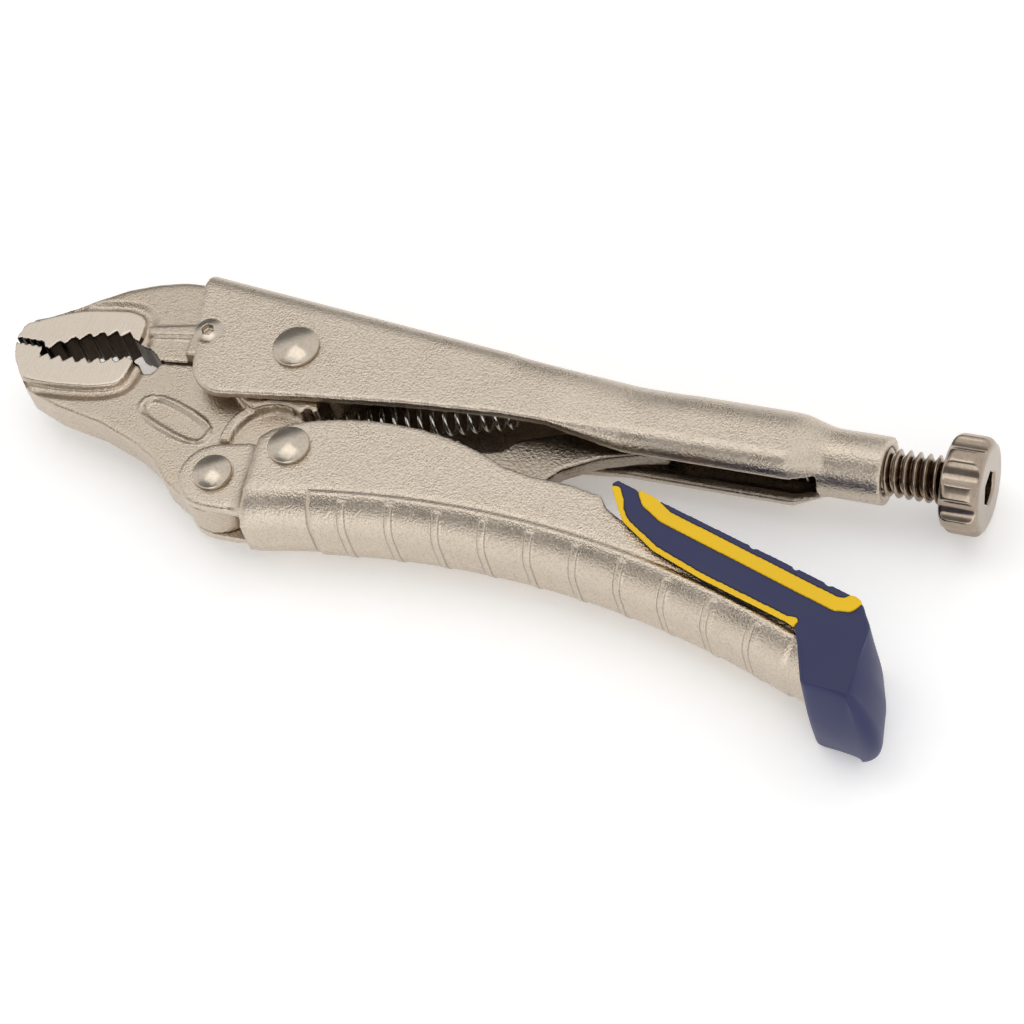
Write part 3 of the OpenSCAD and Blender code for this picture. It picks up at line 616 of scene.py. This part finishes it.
gripLook = dict(
    voxel=0.25, passes=4, capPasses=16, capFrom=(77.5, -24.0),
    outer=0.4, wall=0.9, sink=0.12, proud=0.1, edge=0.03,
    stripeEnd=[(76, -24.6), (80.7, -26.1), (84, -20), (70, -20)], stripeClear=0.6,
    bow=0.06, bowX=(85.0, 89.2), bowY=(23.0, 27.0), lift=0.04, liftY=(34.5, 38.8),
    lipTop=[(51.2, -15.8), (52.3, -17.3), (54.8, -18.9), (56.9, -20.3), (63.6, -22.9), (75.6, -26.6)],
    lipPress=(-0.18, -0.405), topFrom=(49.3, -12.3), topTo=(82.5, -22.65), topDepth=0.8,
    notches=(68.5, 74.5, 79.0), notchWidth=0.5, notch=0.25)


def shapeGrip(piece, look):
    co = drawn(piece)
    x, y, z = co.T
    # the rear face and the bottom edge bow in towards both sides
    rearPart = ramp(x, *look["bowX"]) * ramp(-y, *look["bowY"])
    bottomPart = ramp(-y, *look["liftY"])
    co[:, 0] -= look["bow"] * z * z * rearPart
    co[:, 1] += look["lift"] * z * z * bottomPart
    # both shots are pressed down along the lip, which leaves it a thin line
    press = np.clip(1 - lineDistance(x, y, look["lipTop"]), 0, 1)
    press = np.where(np.abs(z) > halfGrip - look["wall"], press, 0)
    co[:, 0] += look["lipPress"][0] * press
    co[:, 1] += look["lipPress"][1] * press
    redraw(piece, co)


def makeGrip(look):
    cover = remeshedCopy("grip_cover", "gripCover", look["voxel"])
    capX, capY = look["capFrom"]
    soften(cover, look["capPasses"], lambda x, y, z: (x > capX) & (y < capY)
           & (outsideOf(x, y, look["stripeEnd"]) > look["stripeClear"]))
    soften(cover, look["passes"])
    co = drawn(cover)
    top = lineDistance(co[:, 0], co[:, 1], [look["topFrom"], look["topTo"]])
    for at in look["notches"]:
        dent = np.clip(1 - ((co[:, 0] - at) / look["notchWidth"]) ** 2, 0, 1) * (top < look["topDepth"])
        co[:, 1] -= look["notch"] * dent
    outerFace = np.abs(co[:, 2]) > halfGrip - look["outer"]
    co[:, 2] -= np.where(outerFace, np.sign(co[:, 2]) * look["sink"], 0)
    redraw(cover, co)
    shapeGrip(cover, look)
    finishPiece(smooth(cover), blueSkin, "lever", "blue_plastic", "grip_cover")
    base = remeshedCopy("grip_base", "gripBase", look["voxel"])
    soften(base, look["passes"])
    # the stripe is a touch proud of the cover, so that no gap shows between the two shots
    co = drawn(base)
    normals = np.empty(len(base.data.vertices) * 3, np.float32)
    base.data.vertices.foreach_get("normal", normals)
    co += normals.reshape(-1, 3) * look["proud"]
    widest = halfGrip - look["edge"]
    co[:, 2] = np.clip(co[:, 2], -widest, widest)
    redraw(base, co)
    shapeGrip(base, look)
    finishPiece(smooth(base), yellowSkin, "lever", "yellow_plastic", "grip_base")


makeGrip(gripLook)
print("stage: grip")


springLook = dict(front=(4.2, -8.4), rear=(32.2, 0.4), radius=2.02, wire=0.275, coils=15, steps=20, hook=2.4)


def makeSpring(look):
    front, rear = Vector(look["front"]), Vector(look["rear"])
    run = (rear - front).normalized()
    side = Vector((-run.y, run.x))
    length = (rear - front).length
    curve = bpy.data.curves.new("returnSpring", "CURVE")
    curve.dimensions = "3D"
    curve.bevel_depth = look["wire"] * mm
    curve.bevel_resolution = 3
    curve.use_fill_caps = True
    points = []
    count = look["coils"] * look["steps"]
    for i in range(count + 1):
        t = i / count
        angle = 2 * math.pi * i / look["steps"]
        along = look["hook"] + t * (length - 2 * look["hook"])
        flat = front + run * along + side * look["radius"] * math.cos(angle)
        points.append(place(flat.x, flat.y, look["radius"] * math.sin(angle)))
    spline = curve.splines.new("POLY")
    spline.points.add(len(points) - 1)
    for p, co in zip(spline.points, points):
        p.co = (*co, 1)
    coil = bpy.data.objects.new("returnSpring", curve)
    bpy.context.scene.collection.objects.link(coil)
    depsgraph = bpy.context.evaluated_depsgraph_get()
    mesh = bpy.data.meshes.new_from_object(coil.evaluated_get(depsgraph))
    bpy.data.objects.remove(coil)
    piece = bpy.data.objects.new("returnSpring", mesh)
    bpy.context.scene.collection.objects.link(piece)
    smooth(piece)
    piece.data.materials.clear()
    piece.data.materials.append(wireSkin)
    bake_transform(piece)
    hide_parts("return_spring")


makeSpring(springLook)

screwLook = dict(radius=3.1, pitch=1.27, depth=0.62, tip=55.3, head=87.6, point=0.6, blank=0.8, runOut=1.5,
                 rooted=0.15, crest=0.07, round=0.04, foot=0.02, steps=28, rodSteps=48)


def makeScrew(look):
    root = look["radius"] - look["depth"] * look["pitch"]
    length = look["head"] - look["tip"]
    core = [(0, 0), (root - look["point"], 0), (root, look["point"]), (root, length), (0, length)]
    turns = math.floor((length - look["runOut"]) / look["pitch"])
    start = look["tip"] + look["blank"]
    # one ridge of the thread as (radius, share of a pitch), rooted a little inside the core
    inner, shoulder = root - look["rooted"], look["radius"] - look["round"]
    ridge = [(inner, look["foot"]), (shoulder, 0.5 - look["crest"]), (look["radius"], 0.5),
             (shoulder, 0.5 + look["crest"]), (inner, 1 - look["foot"])]
    bm = bmesh.new()
    verts = [bm.verts.new(place(start + h * look["pitch"], 0, r)) for r, h in ridge]
    face = bm.faces.new(verts)
    bmesh.ops.spin(bm, geom=[face], cent=place(start, 0, 0), axis=(1, 0, 0), angle=2 * math.pi * turns,
                   dvec=(look["pitch"] * mm / look["steps"], 0, 0), steps=turns * look["steps"],
                   use_merge=False, use_duplicate=False)
    bmesh.ops.recalc_face_normals(bm, faces=bm.faces)
    thread = newPiece("adjustingScrew", bm)
    rod = lathed("screwRod", core, (look["tip"], 0, 0), (1, 0, 0), look["rodSteps"])
    bm = bmesh.new()
    bm.from_mesh(thread.data)
    bm.from_mesh(rod.data)
    bm.to_mesh(thread.data)
    bm.free()
    bpy.data.objects.remove(rod)
    return finishPiece(smooth(thread), screwSkin, "screw", "screw_steel", "adjusting_screw")


makeScrew(screwLook)


knobLook = dict(voxel=0.16, passes=4)


def makeKnob(look):
    piece = remeshedCopy("adjusting_knob", "adjustingKnob", look["voxel"])
    soften(piece, look["passes"])
    return finishPiece(smooth(piece), screwSkin, "knob", "screw_steel", "adjusting_knob")


makeKnob(knobLook)
print("stage: spring, screw and knob")


floorLook = dict(size=3.0, fibre=2.0, light="#FFFFFF", dark="#FAFAFA", glow=0.22, rough=0.9,
                 glowColour=(1, 0.98, 0.95, 1))


def makeFloor(look):
    bm = bmesh.new()
    bmesh.ops.create_grid(bm, x_segments=1, y_segments=1, size=look["size"])
    floor = newPiece("floor", bm)
    material, tree, shader = newMaterial("whitePaperSweep")
    where = addNode(tree, "ShaderNodeTexCoord").outputs["Object"]
    fibre = addNode(tree, "ShaderNodeTexNoise", {
        "Vector": where, "Scale": perMetre(look["fibre"]), "Detail": 2.0})
    tone = addNode(tree, "ShaderNodeMix", {
        0: fibre.outputs["Fac"], 6: linear(look["dark"]), 7: linear(look["light"])}, data_type="RGBA")
    tree.links.new(tone.outputs[2], shader.inputs["Base Color"])
    shader.inputs["Emission Color"].default_value = look["glowColour"]
    shader.inputs["Emission Strength"].default_value = look["glow"]
    shader.inputs["Roughness"].default_value = look["rough"]
    floor.data.materials.append(material)


roomLook = dict(
    # the two dark parts of a pale room: round the camera, and low behind the tool
    dark=((-0.35, -0.46, 0.82), (0.80, 0.965), (1.0, 0.25)),
    dusk=((-0.57, 0.79, 0.18), (0.78, 0.97), (1.0, 0.22)),
    # each lamp's place in metres, its size and its watts
    lamps=dict(overhead=((-0.22, 0.09, 0.8), 0.45, 0.6), front=((0.1, -0.8, 0.25), 0.5, 0.6)))


def makeLights(look):
    world = bpy.data.worlds.new("studio")
    bpy.context.scene.world = world
    world.use_nodes = True
    tree = world.node_tree
    tree.nodes.clear()
    towards = addNode(tree, "ShaderNodeTexCoord").outputs["Generated"]
    shades = []
    for part in ("dark", "dusk"):
        middle, (start, end), (bright, dim) = look[part]
        nearness = addNode(tree, "ShaderNodeVectorMath", {0: towards, 1: Vector(middle).normalized()},
                           operation="DOT_PRODUCT")
        shades.append(addNode(tree, "ShaderNodeMapRange", {
            "Value": nearness.outputs["Value"], "From Min": start, "From Max": end,
            "To Min": bright, "To Max": dim}, interpolation_type="SMOOTHSTEP").outputs["Result"])
    strength = addNode(tree, "ShaderNodeMath", {0: shades[0], 1: shades[1]}, operation="MULTIPLY")
    background = addNode(tree, "ShaderNodeBackground", {
        "Color": (1.0, 1.0, 1.0, 1), "Strength": strength.outputs["Value"]})
    addNode(tree, "ShaderNodeOutputWorld", {"Surface": background.outputs["Background"]})
    for name, (spot, size, power) in look["lamps"].items():
        data = bpy.data.lights.new(name, "AREA")
        data.size = size
        data.energy = power
        lamp = bpy.data.objects.new(name, data)
        lamp.location = spot
        lamp.rotation_euler = (-Vector(spot)).to_track_quat("-Z", "Y").to_euler()
        bpy.context.scene.collection.objects.link(lamp)


cameraLook = dict(target=(34.28, -15.12, 0), distance=441.9, azimuth=36.07, elevation=53.91,
                  roll=-20.49, lens=123.05)


def makeCamera(look):
    data = bpy.data.cameras.new("camera")
    data.lens = look["lens"]
    data.sensor_width = 36
    data.clip_start = 0.01
    camera = bpy.data.objects.new("camera", data)
    azimuth, elevation = math.radians(look["azimuth"]), math.radians(look["elevation"])
    back = Vector((math.sin(azimuth) * math.cos(elevation), -math.cos(azimuth) * math.cos(elevation),
                   math.sin(elevation)))
    turn = back.to_track_quat("Z", "Y") @ Matrix.Rotation(math.radians(look["roll"]), 3, "Z").to_quaternion()
    camera.rotation_euler = turn.to_euler()
    camera.location = place(*look["target"]) + back * look["distance"] * mm
    bpy.context.scene.collection.objects.link(camera)
    bpy.context.scene.camera = camera


makeFloor(floorLook)
makeLights(roomLook)
makeCamera(cameraLook)
bpy.context.scene.view_settings.view_transform = "Standard"
print("stage: studio")
